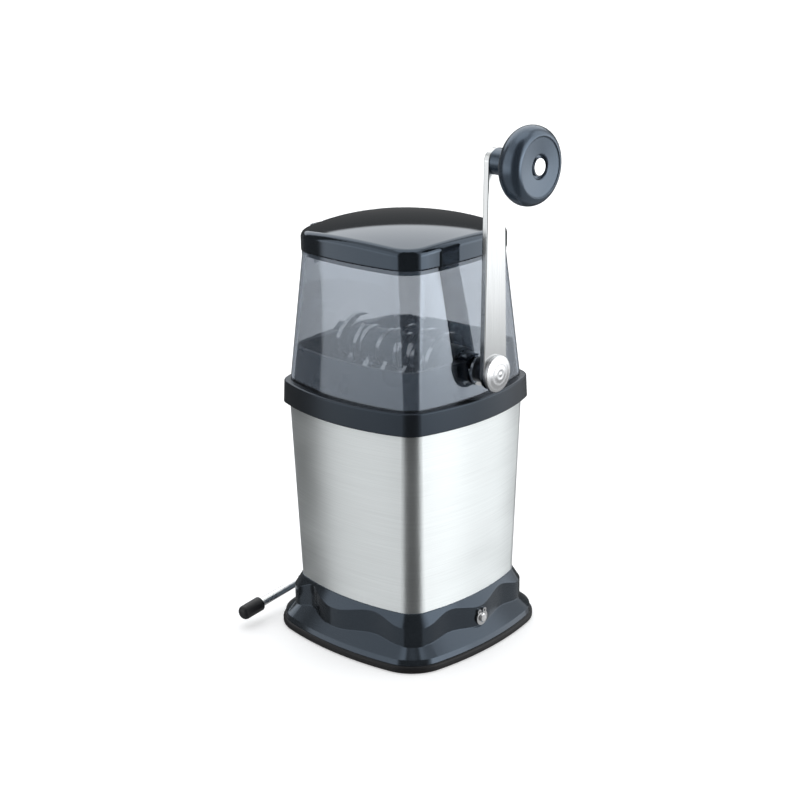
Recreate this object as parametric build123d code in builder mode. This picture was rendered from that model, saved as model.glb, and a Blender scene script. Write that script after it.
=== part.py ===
from build123d import *
import math
import os
from typing import NamedTuple

# Hand-cranked ice crusher on a suction foot, in millimetres.
# +Z is up from the table, +X is the crank's side and -Y the side the suction lever points to.
# The origin is on the table, below the middle of the body.

# ---------------------------------------------------------------- heights
rubber_height = 4.4
skirt_edge_height = 3.2
base_height = 30.5
sleeve_height = 113.0
flange_thickness = 1.2
collar_deck = 3.5
collar_height = 12.6
hopper_height = 73.3
lid_gap = 0.5
lid_height = 15.5
shaft_rise = 14.5
trough_rise = 19.8

# ---------------------------------------------------------------- outlines seen from above
foot_half_width = 62.55
foot_bow = 3.5
foot_corner_radius = 25.4
foot_edge_radius = 1.4
skirt_setback = 1.1
skirt_slope = 0.85
skirt_draft = 0.6
skirt_run = 9.5
sleeve_foot_half_width = 51.2
sleeve_foot_bow = 4.3
sleeve_foot_radius = 13.6
sleeve_top_bow = 6.0
sleeve_top_radius = 12.0
collar_half_width = 59.1
collar_bow = 7.2
collar_corner_radius = 12.2
collar_draft = 0.45
collar_overhang = 3.5
collar_edge_radius = 1.0
hopper_ledge = 4.3
hopper_foot_bow = 5.6
hopper_foot_radius = 11.5
hopper_rim_half_width = 45.6
hopper_rim_bow = 1.9
hopper_rim_radius = 15.4
lid_overhang = 0.8
lid_dome_radius = 300.0
lid_edge_radius = 4.0

# ---------------------------------------------------------------- walls and clearances
sleeve_wall = 0.6
bin_wall = 1.8
bin_floor = 2.2
bin_foot_gap = 1.0
bin_head_gap = 0.3
hopper_wall = 2.2
trough_wall = 2.0
trough_gap = 0.3
trough_slope_wall = 2.4
hopper_bead = 0.4
hopper_bead_height = 2.0
lid_wall = 2.2
base_wall = 2.6
base_deck = 3.0
spigot_height = 4.0
seat_clearance = 0.1
nest_clearance = 0.4
running_clearance = 0.06

# ---------------------------------------------------------------- wavy band of the base
wave_crest = 55.4
wave_dip = 51.0
wave_dip_place = 24.5
wave_corner_centre = 37.2
wave_corner_radius = 13.0
wave_corner_spread = 22.0
upper_slope = 1.6
upper_ledge = 0.35

# ---------------------------------------------------------------- suction foot and its lever
cup_radius = 47.0
cup_boss_radius = 12.0
cup_wall = 2.0
cup_clear_height = 0.8
cup_rise = 2.3
axle_height = 17.2
axle_radius = 2.5
axle_bend_radius = 6.0
axle_boss_radius = 6.5
axle_boss_length = 9.0
boss_inset = 2.5
guide_wall = 2.0
guide_axle_gap = 0.8
lever_reach = 75.0
lever_slope = 6.7
lever_side_gap = 7.1
grip_radius = 4.2
grip_length = 15.0
grip_cap = 1.6
cam_radius = 6.0
cam_throw = 1.5
cam_width = 8.0
cam_slack = 0.4
yoke_rim = 2.4
yoke_foot = 4.0
yoke_side_gap = 0.35
stud_radius = 2.5
stud_head_radius = 7.0
stud_head_height = 1.4
cup_boss_cover = 0.8
clip_radius = 4.4
clip_thickness = 0.9
clip_ear_radius = 1.5
clip_hole_radius = 0.6
clip_groove_depth = 0.4
clip_ear_angle = 62.0
clip_mouth = 1.4
axle_chamfer = 0.5
grip_round = 1.6
axle_end_past_clip = 1.2

# ---------------------------------------------------------------- crusher
shaft_radius = 4.0
core_radius = 10.0
blade_radius = 16.0
blade_thickness = 2.4
blade_pitch = 13.0
blade_count = 6
blade_first = -37.0
blade_lean = 7.0
blade_turn = 60.0
blade_ring = 1.2
hook_radius = 14.4
hook_offset = 4.2
slot_half_width = 18.5
slot_end_wall = 6.0
slot_height_above_deck = 1.8
chute_depth = 17.0
tooth_thickness = 3.0
tooth_tip_gap = 1.6
comb_thickness = 1.7
bush_radius = 6.5
bush_flange_radius = 8.5
bush_flange_thickness = 2.0
bush_depth = 4.0
bush_stand_out = 0.1
core_end_gap = 0.4
comb_height = 5.0
tooth_tip_angle = 22.0

# ---------------------------------------------------------------- crank
washer_radius = 8.5
washer_thickness = 1.5
spacer_radius = 6.6
spacer_length = 5.7
arm_thickness = 3.5
arm_hub_radius = 9.25
arm_tip_radius = 6.6
crank_length = 113.3
arm_edge_radius = 0.5
tang_width = 5.4
hub_screw_radius = 2.0
hub_screw_depth = 14.0
hub_disc_radius = 10.0
hub_disc_height = 2.2
hub_step_height = 0.5
hub_step_width = 2.1
hub_steps = 3
knob_stem_radius = 7.0
knob_stem_length = 12.0
knob_back_radius = 10.5
knob_radius = 20.5
knob_face_radius = 15.5
knob_length = 28.0
knob_belly = 21.0
knob_dish = 0.6
knob_gap = 0.3
knob_pin_radius = 3.0
knob_pin_head_radius = 4.65
knob_pin_head_height = 1.5
knob_recess_radius = 6.2
knob_recess_depth = 1.8
knob_rivet_radius = 4.6
knob_rivet_height = 1.0
knob_pin_head_round = 0.6

# ---------------------------------------------------------------- lid hinge
hinge_inset = 1.0
hinge_rise = 7.0
hinge_barrel_radius = 3.6
hinge_pin_radius = 1.25
hinge_half_length = 24.0
hinge_lug_width = 5.0
hinge_side_gap = 0.3
lug_root_drop = 11.0
lug_web = 3.2
lid_lip_depth = 3.5
lid_lip_wall = 1.8
lid_lip_gap = 0.9
notch_depth = 12.0

# ---------------------------------------------------------------- screws
screw_radius = 1.6
screw_head_radius = 3.4
screw_head_height = 2.0
screw_boss_radius = 4.2
base_screw_place = 33.0
base_screw_length = 12.0
trough_screw_x = 30.0
trough_screw_y = 34.0
trough_screw_length = 9.5
trough_boss_height = 8.0
screw_boss_height = 6.0

# ---------------------------------------------------------------- heights worked out from the sizes
sleeve_top_height = base_height + sleeve_height
collar_top_height = sleeve_top_height + flange_thickness + collar_deck
collar_bottom_height = collar_top_height - collar_height
hopper_top_height = collar_top_height + hopper_height
lid_bottom_height = hopper_top_height + lid_gap
shaft_height = collar_top_height + shaft_rise
knob_height = shaft_height + crank_length
trough_rim_height = collar_top_height + trough_rise
skirt_top_height = rubber_height + skirt_edge_height


class Outline(NamedTuple):
    """A square seen from above, with rounded corners and sides that bow outwards."""

    half_width: float
    bow: float
    corner_radius: float

    def inset(self, depth):
        """The outline drawn in by a depth on all sides."""
        return Outline(self.half_width - depth, self.bow, self.corner_radius - depth)

    def toward(self, other, share):
        """The outline part of the way to another one."""
        pairs = zip(self, other)
        return Outline(*(mine + share * (theirs - mine) for mine, theirs in pairs))

    def at(self, height):
        """The outline's face at a height above the table."""
        reach = self.half_width - self.corner_radius
        corner = reach - self.bow
        with BuildSketch(Plane.XY.offset(height)) as face:
            with BuildLine():
                ThreePointArc((-corner, -corner), (0, -reach), (corner, -corner))
                ThreePointArc((corner, -corner), (reach, 0), (corner, corner))
                ThreePointArc((corner, corner), (0, reach), (-corner, corner))
                ThreePointArc((-corner, corner), (-reach, 0), (-corner, -corner))
            make_face()
            offset(amount=self.corner_radius, kind=Kind.ARC)
        return face.sketch


def share_of(height, low, high):
    """How far a height lies from a low level to a high one, from 0 to 1."""
    return (height - low) / (high - low)


foot = Outline(foot_half_width, foot_bow, foot_corner_radius)
skirt = foot.inset(skirt_setback)
sleeve_foot = Outline(sleeve_foot_half_width, sleeve_foot_bow, sleeve_foot_radius)
sleeve_top = Outline(collar_half_width - collar_overhang, sleeve_top_bow, sleeve_top_radius)
collar_foot = Outline(collar_half_width, collar_bow, collar_corner_radius)
collar_top = Outline(collar_half_width - collar_draft, collar_bow, collar_corner_radius)
hopper_foot = Outline(collar_top.half_width - hopper_ledge, hopper_foot_bow, hopper_foot_radius)
hopper_rim = Outline(hopper_rim_half_width, hopper_rim_bow, hopper_rim_radius)
lid_edge = hopper_rim.inset(-lid_overhang)


def sleeve_at(height):
    """Outer outline of the steel sleeve at a height."""
    return sleeve_foot.toward(sleeve_top, share_of(height, base_height, sleeve_top_height))


def hopper_at(height):
    """Outer outline of the hopper at a height."""
    return hopper_foot.toward(hopper_rim, share_of(height, collar_top_height, hopper_top_height))


def plane_across_x(x, height=0.0):
    """Plane square to X, with its own x along +Y and its own y along +Z."""
    return Plane(origin=(x, 0, height), x_dir=(0, 1, 0), z_dir=(1, 0, 0))


def plane_across_y(y):
    """Plane square to Y, with its own x along +X and its own y along +Z."""
    return Plane(origin=(0, y, 0), x_dir=(1, 0, 0), z_dir=(0, -1, 0))


def round_bar_x(radius, start, end, height, mode=Mode.ADD):
    """A round bar along X at a height, added to the piece in hand or cut from it."""
    with BuildSketch(plane_across_x(start)) as section:
        with Locations((0, height)):
            Circle(radius)
    extrude(section.sketch, amount=end - start, mode=mode)


def four_screws(spacing_x, spacing_y, seat, length):
    """Four screws pointing up, with their heads below the face that they clamp."""
    with BuildSketch(Plane.XY.offset(seat - screw_head_height)) as heads:
        with GridLocations(spacing_x, spacing_y, 2, 2):
            Circle(screw_head_radius)
    extrude(heads.sketch, amount=screw_head_height)
    with BuildSketch(Plane.XY.offset(seat)) as shanks:
        with GridLocations(spacing_x, spacing_y, 2, 2):
            Circle(screw_radius)
    extrude(shanks.sketch, amount=length)


def save(part, name):
    """Labels a finished piece and writes it."""
    part.label = name
    export_step(part, f"parts/{name}.step")


os.makedirs("parts", exist_ok=True)

# ================================================================ base
# Rubber foot: a rounded-square pad with a round opening for the suction cup.
with BuildPart() as rubber_foot:
    extrude(foot.at(0), amount=rubber_height)
    fillet(rubber_foot.faces().sort_by(Axis.Z)[0].edges(), foot_edge_radius)
    fillet(rubber_foot.faces().sort_by(Axis.Z)[-1].edges(), foot_edge_radius)
    with BuildSketch():
        Circle(cup_radius)
    extrude(amount=rubber_height, mode=Mode.SUBTRACT)
save(rubber_foot.part, "rubber_foot")

# Suction cup: a thin rubber dish between the foot's opening and the pulled boss.
cup_edge_top = cup_clear_height + cup_wall
cup_centre_height = cup_clear_height + cup_rise
boss_outer_radius = cup_boss_radius - nest_clearance
with BuildPart() as suction_cup:
    with BuildSketch(Plane.XZ):
        with BuildLine():
            Polyline(
                (cup_radius - seat_clearance, cup_clear_height),
                (cup_radius - seat_clearance, cup_edge_top),
                (cup_boss_radius, cup_centre_height + cup_wall),
                (cup_boss_radius, cup_centre_height),
                close=True,
            )
        make_face()
    revolve(axis=Axis.Z)
save(suction_cup.part, "suction_cup")

# The cam sits low on the axle at rest, and the yoke's window follows it.
cam_height = axle_height - cam_throw
window_half_width = cam_throw + cam_radius + cam_slack
window_bottom = cam_height - cam_radius - cam_slack
window_top = cam_height + cam_radius + cam_slack
yoke_half_width = window_half_width + yoke_rim
yoke_bottom = window_bottom - yoke_foot
yoke_top = window_top + yoke_rim
stud_head_bottom = yoke_bottom - cup_boss_cover - stud_head_height

with BuildPart() as cup_stud:
    with BuildSketch(Plane.XY.offset(stud_head_bottom)):
        Circle(stud_head_radius)
    extrude(amount=stud_head_height)
    with BuildSketch(Plane.XY.offset(stud_head_bottom)):
        Circle(stud_radius)
    extrude(amount=window_bottom - seat_clearance - stud_head_bottom)
save(cup_stud.part, "cup_stud")

with BuildPart() as cup_boss:
    with BuildSketch(Plane.XY.offset(stud_head_bottom - cup_boss_cover)):
        Circle(boss_outer_radius)
    extrude(amount=yoke_bottom - stud_head_bottom + cup_boss_cover)
    add(cup_stud.part, mode=Mode.SUBTRACT)
save(cup_boss.part, "cup_boss")

with BuildPart() as pull_yoke:
    with BuildSketch(plane_across_x(-cam_width / 2)):
        with Locations((0, (yoke_bottom + yoke_top) / 2)):
            Rectangle(2 * yoke_half_width, yoke_top - yoke_bottom)
        with Locations((0, (window_bottom + window_top) / 2)):
            Rectangle(2 * window_half_width, window_top - window_bottom, mode=Mode.SUBTRACT)
    extrude(amount=cam_width)
    with BuildSketch(Plane.XY.offset(yoke_bottom)):
        Circle(stud_radius)
    extrude(amount=yoke_foot, mode=Mode.SUBTRACT)
save(pull_yoke.part, "pull_yoke")

# Base housing: a wavy upright band between a steep upper slope and a spreading skirt.
skirt_edge = skirt.inset(skirt_draft)
crown_height = skirt_top_height + skirt_slope * skirt_run
skirt_crown = skirt_edge.inset(skirt_run)
spigot_top = base_height + spigot_height
deck_underside = spigot_top - base_deck
upper_run = (base_height - skirt_top_height) / upper_slope
upper_edge = sleeve_foot.inset(-upper_ledge)
cavity_foot = skirt.inset(base_wall)
cavity_top = skirt_crown.inset(base_wall)
wall_face = wave_crest - boss_inset


def wave_points():
    """Points of the wavy band: two crests and two dips along each side, rounded at the corners."""
    points = []
    for side in range(4):
        turn = 90 * side
        points.append(Vector(-wave_dip_place, -wave_dip).rotate(Axis.Z, turn))
        points.append(Vector(0, -wave_crest).rotate(Axis.Z, turn))
        points.append(Vector(wave_dip_place, -wave_dip).rotate(Axis.Z, turn))
        for spread in (-wave_corner_spread, wave_corner_spread):
            corner = Vector(wave_corner_centre, -wave_corner_centre)
            shoulder = Vector(wave_corner_radius, 0).rotate(Axis.Z, spread - 45)
            points.append((corner + shoulder).rotate(Axis.Z, turn))
    return points


with BuildPart() as base_housing:
    with BuildSketch(Plane.XY.offset(skirt_top_height)):
        with BuildLine():
            Spline(*wave_points(), periodic=True)
        make_face()
    extrude(amount=base_height - skirt_top_height)
    upper_foot = upper_edge.inset(-upper_run)
    loft([upper_foot.at(skirt_top_height), upper_edge.at(base_height)], ruled=True, mode=Mode.INTERSECT)
    loft([skirt.at(rubber_height), skirt_edge.at(skirt_top_height)], ruled=True)
    loft([skirt_edge.at(skirt_top_height), skirt_crown.at(crown_height)], ruled=True)
    spigot_foot = sleeve_at(base_height).inset(sleeve_wall + seat_clearance)
    spigot_head = sleeve_at(spigot_top).inset(sleeve_wall + seat_clearance)
    loft([spigot_foot.at(base_height), spigot_head.at(spigot_top)], ruled=True)
    loft([cavity_foot.at(rubber_height), cavity_top.at(crown_height)], ruled=True, mode=Mode.SUBTRACT)
    loft([cavity_top.at(crown_height), cavity_top.at(deck_underside)], ruled=True, mode=Mode.SUBTRACT)
    # Bearing bosses for the lever's axle.
    for side in (-1, 1):
        with BuildSketch(plane_across_x(side * wall_face)):
            with Locations((0, axle_height)):
                Circle(axle_boss_radius)
        extrude(amount=-side * axle_boss_length)
    round_bar_x(axle_radius + running_clearance, -foot_half_width, foot_half_width, axle_height, Mode.SUBTRACT)
    # Two walls that guide the yoke.
    for side in (-1, 1):
        guide_middle = side * (cam_width / 2 + yoke_side_gap + guide_wall / 2)
        with BuildSketch(Plane.XY.offset(deck_underside)):
            with Locations((guide_middle, 0)):
                Rectangle(guide_wall, 2 * yoke_half_width)
        extrude(amount=-(deck_underside - axle_height - axle_radius - guide_axle_gap))
    with BuildSketch(Plane.XY.offset(deck_underside)):
        with GridLocations(2 * base_screw_place, 2 * base_screw_place, 2, 2):
            Circle(screw_radius + seat_clearance)
    extrude(amount=base_deck, mode=Mode.SUBTRACT)
save(base_housing.part, "base_housing")

with BuildPart() as base_screws:
    four_screws(2 * base_screw_place, 2 * base_screw_place, deck_underside, base_screw_length)
save(base_screws.part, "base_screws")

# Suction lever: one bent rod that is axle and arm.
lever_side = wave_crest + lever_side_gap
clip_start = wave_crest + seat_clearance
axle_end = clip_start + clip_thickness + axle_end_past_clip
lever_direction = Vector(0, -1, 0).rotate(Axis.X, lever_slope)
lever_corner = Vector(-lever_side, 0, axle_height)
grip_start = lever_corner + lever_direction * (lever_reach - grip_length)
grip_plane = Plane(origin=grip_start, x_dir=(1, 0, 0), z_dir=lever_direction)
groove_radius = axle_radius - clip_groove_depth

with BuildPart() as lever_rod:
    with BuildLine() as lever_path:
        FilletPolyline(
            (axle_end, 0, axle_height),
            lever_corner,
            lever_corner + lever_direction * (lever_reach - grip_cap),
            radius=axle_bend_radius,
        )
    with BuildSketch(Plane(origin=lever_path.line @ 0, z_dir=lever_path.line % 0)):
        Circle(axle_radius)
    sweep(path=lever_path.line)
    chamfer(lever_rod.faces().sort_by(Axis.X)[-1].edges(), axle_chamfer)
    with BuildSketch(plane_across_x(clip_start)):
        with Locations((0, axle_height)):
            Circle(axle_radius + seat_clearance)
            Circle(groove_radius, mode=Mode.SUBTRACT)
    extrude(amount=clip_thickness, mode=Mode.SUBTRACT)
save(lever_rod.part, "lever_rod")

with BuildPart() as lever_grip:
    with BuildSketch(grip_plane):
        Circle(grip_radius)
    extrude(amount=grip_length)
    fillet(lever_grip.edges().filter_by(GeomType.CIRCLE).sort_by(Axis.Y)[0], grip_round)
    with BuildSketch(grip_plane):
        Circle(axle_radius)
    extrude(amount=grip_length - grip_cap, mode=Mode.SUBTRACT)
save(lever_grip.part, "lever_grip")

with BuildPart() as lever_cam:
    round_bar_x(cam_radius, -cam_width / 2, cam_width / 2, cam_height)
    round_bar_x(axle_radius, -cam_width / 2, cam_width / 2, axle_height, Mode.SUBTRACT)
save(lever_cam.part, "lever_cam")

with BuildPart() as axle_clip:
    with BuildSketch(plane_across_x(clip_start)):
        with Locations((0, axle_height)):
            Circle(clip_radius)
            with PolarLocations(clip_radius, 2, clip_ear_angle, 180 - 2 * clip_ear_angle, endpoint=True):
                Circle(clip_ear_radius)
            with Locations((0, clip_radius)):
                Rectangle(clip_mouth, 2 * clip_radius, mode=Mode.SUBTRACT)
            Circle(groove_radius + running_clearance, mode=Mode.SUBTRACT)
            with PolarLocations(clip_radius, 2, clip_ear_angle, 180 - 2 * clip_ear_angle, endpoint=True):
                Circle(clip_hole_radius, mode=Mode.SUBTRACT)
    extrude(amount=clip_thickness)
save(axle_clip.part, "axle_clip")

# ================================================================ steel body and its liner
with BuildPart() as steel_body:
    loft([sleeve_foot.at(base_height), sleeve_top.at(sleeve_top_height)], ruled=True)
    inner_foot = sleeve_foot.inset(sleeve_wall)
    inner_top = sleeve_top.inset(sleeve_wall)
    loft([inner_foot.at(base_height), inner_top.at(sleeve_top_height)], ruled=True, mode=Mode.SUBTRACT)
save(steel_body.part, "steel_body")

bin_bottom = spigot_top + seat_clearance
bin_top = sleeve_top_height + flange_thickness
bin_inside_bottom = bin_bottom + bin_floor
bin_foot = sleeve_at(bin_bottom).inset(sleeve_wall + bin_foot_gap)
bin_head = sleeve_top.inset(sleeve_wall + bin_head_gap)
with BuildPart() as ice_bin:
    loft([bin_foot.at(bin_bottom), bin_head.at(sleeve_top_height)], ruled=True)
    loft([sleeve_top.at(sleeve_top_height), sleeve_top.at(bin_top)], ruled=True)
    inside_foot = bin_foot.inset(bin_wall)
    inside_head = bin_head.inset(bin_wall)
    loft([inside_foot.at(bin_inside_bottom), inside_head.at(bin_top)], ruled=True, mode=Mode.SUBTRACT)
    with BuildSketch(Plane.XY.offset(bin_inside_bottom)):
        with GridLocations(2 * base_screw_place, 2 * base_screw_place, 2, 2):
            Circle(screw_boss_radius)
    extrude(amount=screw_boss_height)
    with BuildSketch(Plane.XY.offset(bin_bottom)):
        with GridLocations(2 * base_screw_place, 2 * base_screw_place, 2, 2):
            Circle(screw_radius)
    extrude(amount=deck_underside + base_screw_length + seat_clearance - bin_bottom, mode=Mode.SUBTRACT)
save(ice_bin.part, "ice_bin")

# ================================================================ head: collar, hopper and crusher
deck_bottom = bin_top
ear_height = shaft_height + bush_flange_radius
ear_end = hopper_at(ear_height).half_width - hopper_wall - trough_gap
trough_foot = hopper_at(collar_top_height).inset(hopper_wall + trough_gap)
trough_rim = hopper_at(trough_rim_height).inset(hopper_wall + trough_gap)
slot_half_length = ear_end - slot_end_wall
chute_half_length = slot_half_length + trough_wall
chute_half_width = slot_half_width + trough_wall
slot_height = collar_top_height + slot_height_above_deck

with BuildPart() as collar:
    loft([collar_foot.at(collar_bottom_height), collar_top.at(collar_top_height)], ruled=True)
    fillet(collar.faces().sort_by(Axis.Z)[-1].edges(), collar_edge_radius)
    skirt_room = sleeve_top.inset(-nest_clearance)
    loft([skirt_room.at(collar_bottom_height), skirt_room.at(deck_bottom)], ruled=True, mode=Mode.SUBTRACT)
    with BuildSketch(Plane.XY.offset(deck_bottom)):
        Rectangle(2 * (chute_half_length + nest_clearance), 2 * (chute_half_width + nest_clearance))
        with GridLocations(2 * trough_screw_x, 2 * trough_screw_y, 2, 2):
            Circle(screw_radius + seat_clearance)
    extrude(amount=collar_deck, mode=Mode.SUBTRACT)
save(collar.part, "collar")

hinge_x = -(lid_edge.half_width - hinge_inset)
hinge_height = lid_bottom_height + hinge_rise
lug_root_height = hopper_top_height - lug_root_drop
lug_root_x = -(hopper_at(lug_root_height).half_width - hopper_wall / 2)
bore_radius = bush_radius + seat_clearance
bead_height = hopper_top_height - hopper_bead_height
bead = hopper_rim.inset(-hopper_bead)

with BuildPart() as hopper:
    loft([hopper_foot.at(collar_top_height), hopper_rim.at(hopper_top_height)], ruled=True)
    loft([bead.at(bead_height), bead.at(hopper_top_height)], ruled=True)
    for start in (-hinge_half_length, hinge_half_length - hinge_lug_width):
        with BuildSketch(plane_across_y(start)):
            with BuildLine():
                Polyline(
                    (hinge_x + lug_web / 2, hinge_height),
                    (hinge_x + lug_web / 2, bead_height),
                    (lug_root_x, lug_root_height),
                    (hinge_x - lug_web / 2, bead_height - lug_web),
                    (hinge_x - lug_web / 2, hinge_height),
                    close=True,
                )
            make_face()
            with Locations((hinge_x, hinge_height)):
                Circle(hinge_barrel_radius)
        extrude(amount=-hinge_lug_width)
    inside_foot = hopper_foot.inset(hopper_wall)
    inside_rim = hopper_rim.inset(hopper_wall)
    loft([inside_foot.at(collar_top_height), inside_rim.at(hopper_top_height)], ruled=True, mode=Mode.SUBTRACT)
    round_bar_x(bore_radius, 0, collar_half_width, shaft_height, Mode.SUBTRACT)
    with BuildSketch(plane_across_y(-hinge_half_length)):
        with Locations((hinge_x, hinge_height)):
            Circle(hinge_pin_radius)
    extrude(amount=-2 * hinge_half_length, mode=Mode.SUBTRACT)
save(hopper.part, "hopper")

with BuildPart() as hinge_pin:
    with BuildSketch(plane_across_y(-hinge_half_length)):
        with Locations((hinge_x, hinge_height)):
            Circle(hinge_pin_radius)
    extrude(amount=-2 * hinge_half_length)
save(hinge_pin.part, "hinge_pin")

# Funnel inside the trough: the room between its side walls, sloped down to a slot below the rotor.
trough_inside_foot = trough_foot.inset(trough_wall)
trough_inside_rim = trough_rim.inset(trough_wall)
slope_top = trough_inside_rim.half_width
with BuildPart() as funnel_room:
    loft([trough_inside_foot.at(collar_top_height), trough_inside_rim.at(trough_rim_height)], ruled=True)
    with BuildSketch(plane_across_x(-slot_half_length)):
        with BuildLine():
            Polyline(
                (-slope_top, trough_rim_height),
                (-slot_half_width, slot_height),
                (slot_half_width, slot_height),
                (slope_top, trough_rim_height),
                close=True,
            )
        make_face()
    extrude(amount=2 * slot_half_length, mode=Mode.INTERSECT)

with BuildPart() as under_room:
    loft([trough_inside_foot.at(collar_top_height), trough_inside_rim.at(trough_rim_height)], ruled=True)
    with BuildSketch(plane_across_x(-slot_half_length)):
        for side in (-1, 1):
            with BuildLine():
                Polyline(
                    (side * (chute_half_width + trough_slope_wall), collar_top_height),
                    (side * (slope_top + trough_slope_wall), collar_top_height),
                    (side * (slope_top + trough_slope_wall), trough_rim_height - trough_slope_wall),
                    close=True,
                )
            make_face()
    extrude(amount=2 * slot_half_length, mode=Mode.INTERSECT)

with BuildPart() as crusher_trough:
    loft([trough_foot.at(collar_top_height), trough_rim.at(trough_rim_height)], ruled=True)
    round_bar_x(bush_flange_radius, slot_half_length, ear_end, shaft_height)
    round_bar_x(bush_flange_radius, -ear_end, -slot_half_length, shaft_height)
    with BuildSketch(Plane.XY.offset(collar_top_height - chute_depth)):
        Rectangle(2 * chute_half_length, 2 * chute_half_width)
    extrude(amount=chute_depth)
    add(funnel_room.part, mode=Mode.SUBTRACT)
    add(under_room.part, mode=Mode.SUBTRACT)
    with BuildSketch(Plane.XY.offset(collar_top_height - chute_depth)):
        Rectangle(2 * slot_half_length, 2 * slot_half_width)
    extrude(amount=slot_height - collar_top_height + chute_depth, mode=Mode.SUBTRACT)
    with BuildSketch(Plane.XY.offset(collar_top_height)):
        with GridLocations(2 * trough_screw_x, 2 * trough_screw_y, 2, 2):
            Circle(screw_boss_radius)
    extrude(amount=trough_boss_height)
    with BuildSketch(Plane.XY.offset(collar_top_height)):
        with GridLocations(2 * trough_screw_x, 2 * trough_screw_y, 2, 2):
            Circle(screw_radius)
    extrude(amount=trough_screw_length - collar_deck + seat_clearance, mode=Mode.SUBTRACT)
    bush_room = slot_half_length + bush_depth
    round_bar_x(bore_radius, -bush_room, -slot_half_length, shaft_height, Mode.SUBTRACT)
    round_bar_x(bore_radius, slot_half_length, collar_half_width, shaft_height, Mode.SUBTRACT)
save(crusher_trough.part, "crusher_trough")

with BuildPart() as trough_screws:
    four_screws(2 * trough_screw_x, 2 * trough_screw_y, deck_bottom, trough_screw_length)
save(trough_screws.part, "trough_screws")

# Combs: a bar on each wall of the slot, with a tooth between every two rotor blades.
comb_face = slot_half_width - comb_thickness
comb_top = slot_height - seat_clearance
tooth_tip_distance = core_radius + tooth_tip_gap
tooth_tip_y = tooth_tip_distance * math.cos(math.radians(tooth_tip_angle))
tooth_tip_height = shaft_height - tooth_tip_distance * math.sin(math.radians(tooth_tip_angle))
tooth_places = [blade_first + blade_pitch * (step + 0.5) for step in range(blade_count)]
for side, comb_name in ((-1, "front_comb"), (1, "rear_comb")):
    with BuildPart() as comb:
        with BuildSketch(plane_across_x(-slot_half_length)):
            with Locations((side * (slot_half_width - comb_thickness / 2), comb_top - comb_height / 2)):
                Rectangle(comb_thickness, comb_height)
        extrude(amount=2 * slot_half_length)
        for place in tooth_places:
            with BuildSketch(plane_across_x(place - tooth_thickness / 2)):
                with BuildLine():
                    Polyline(
                        (side * comb_face, comb_top),
                        (side * tooth_tip_y, tooth_tip_height),
                        (side * comb_face, comb_top - comb_height),
                        close=True,
                    )
                make_face()
            extrude(amount=tooth_thickness)
    save(comb.part, comb_name)

# Bushes that carry the shaft: the left one is closed, the right one reaches through the hopper.
bush_inner_face = slot_half_length - bush_flange_thickness
bush_right_end = hopper_at(shaft_height - bush_radius).half_width + bush_stand_out
shaft_left_end = slot_half_length + bush_depth / 2
with BuildPart() as bush_left:
    round_bar_x(bush_flange_radius, -slot_half_length, -bush_inner_face, shaft_height)
    round_bar_x(bush_radius, -slot_half_length - bush_depth, -bush_inner_face, shaft_height)
    bore_end = shaft_left_end + nest_clearance
    round_bar_x(shaft_radius + running_clearance, -bore_end, -bush_inner_face, shaft_height, Mode.SUBTRACT)
save(bush_left.part, "bush_left")

with BuildPart() as bush_right:
    round_bar_x(bush_flange_radius, bush_inner_face, slot_half_length, shaft_height)
    round_bar_x(bush_radius, bush_inner_face, bush_right_end, shaft_height)
    round_bar_x(
        shaft_radius + running_clearance, bush_inner_face, bush_right_end, shaft_height, Mode.SUBTRACT
    )
save(bush_right.part, "bush_right")

# ================================================================ rotor and crank
washer_start = hopper_at(shaft_height - washer_radius).half_width + nest_clearance
spacer_start = washer_start + washer_thickness
arm_inner_face = spacer_start + spacer_length
arm_outer_face = arm_inner_face + arm_thickness
core_half_length = bush_inner_face - core_end_gap

with BuildPart() as shaft:
    round_bar_x(shaft_radius, -shaft_left_end, arm_inner_face, shaft_height)
    with BuildSketch(plane_across_x(arm_inner_face)):
        with Locations((0, shaft_height)):
            Rectangle(tang_width, tang_width)
    extrude(amount=arm_thickness - seat_clearance)
    screw_bottom = arm_outer_face - hub_screw_depth
    round_bar_x(hub_screw_radius, screw_bottom - seat_clearance, arm_outer_face, shaft_height, Mode.SUBTRACT)
save(shaft.part, "shaft")

with BuildPart() as rotor_core:
    round_bar_x(core_radius, -core_half_length, core_half_length, shaft_height)
    round_bar_x(shaft_radius, -core_half_length, core_half_length, shaft_height, Mode.SUBTRACT)
save(rotor_core.part, "rotor_core")

# Rotor blades: hooked rings that lean a little and turn step by step along the core.
lean = math.radians(blade_lean)
with BuildPart() as rotor_blades:
    for step in range(blade_count):
        middle = Vector(blade_first + blade_pitch * step, 0, shaft_height)
        across = Vector(math.cos(lean), 0, -math.sin(lean))
        blade_plane = Plane(origin=middle - across * (blade_thickness / 2), x_dir=(0, 1, 0), z_dir=across)
        hook_angle = math.radians(blade_turn * step)
        with BuildSketch(blade_plane):
            Circle(blade_radius)
            with Locations((hook_offset * math.cos(hook_angle), hook_offset * math.sin(hook_angle))):
                Circle(hook_radius, mode=Mode.SUBTRACT)
            Circle(core_radius + blade_ring)
        extrude(amount=blade_thickness)
    core_length = core_half_length + blade_radius
    round_bar_x(core_radius, -core_length, core_length, shaft_height, Mode.SUBTRACT)
save(rotor_blades.part, "rotor_blades")

with BuildPart() as crank_washer:
    round_bar_x(washer_radius, washer_start, spacer_start, shaft_height)
    round_bar_x(shaft_radius, washer_start, spacer_start, shaft_height, Mode.SUBTRACT)
save(crank_washer.part, "crank_washer")

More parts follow.
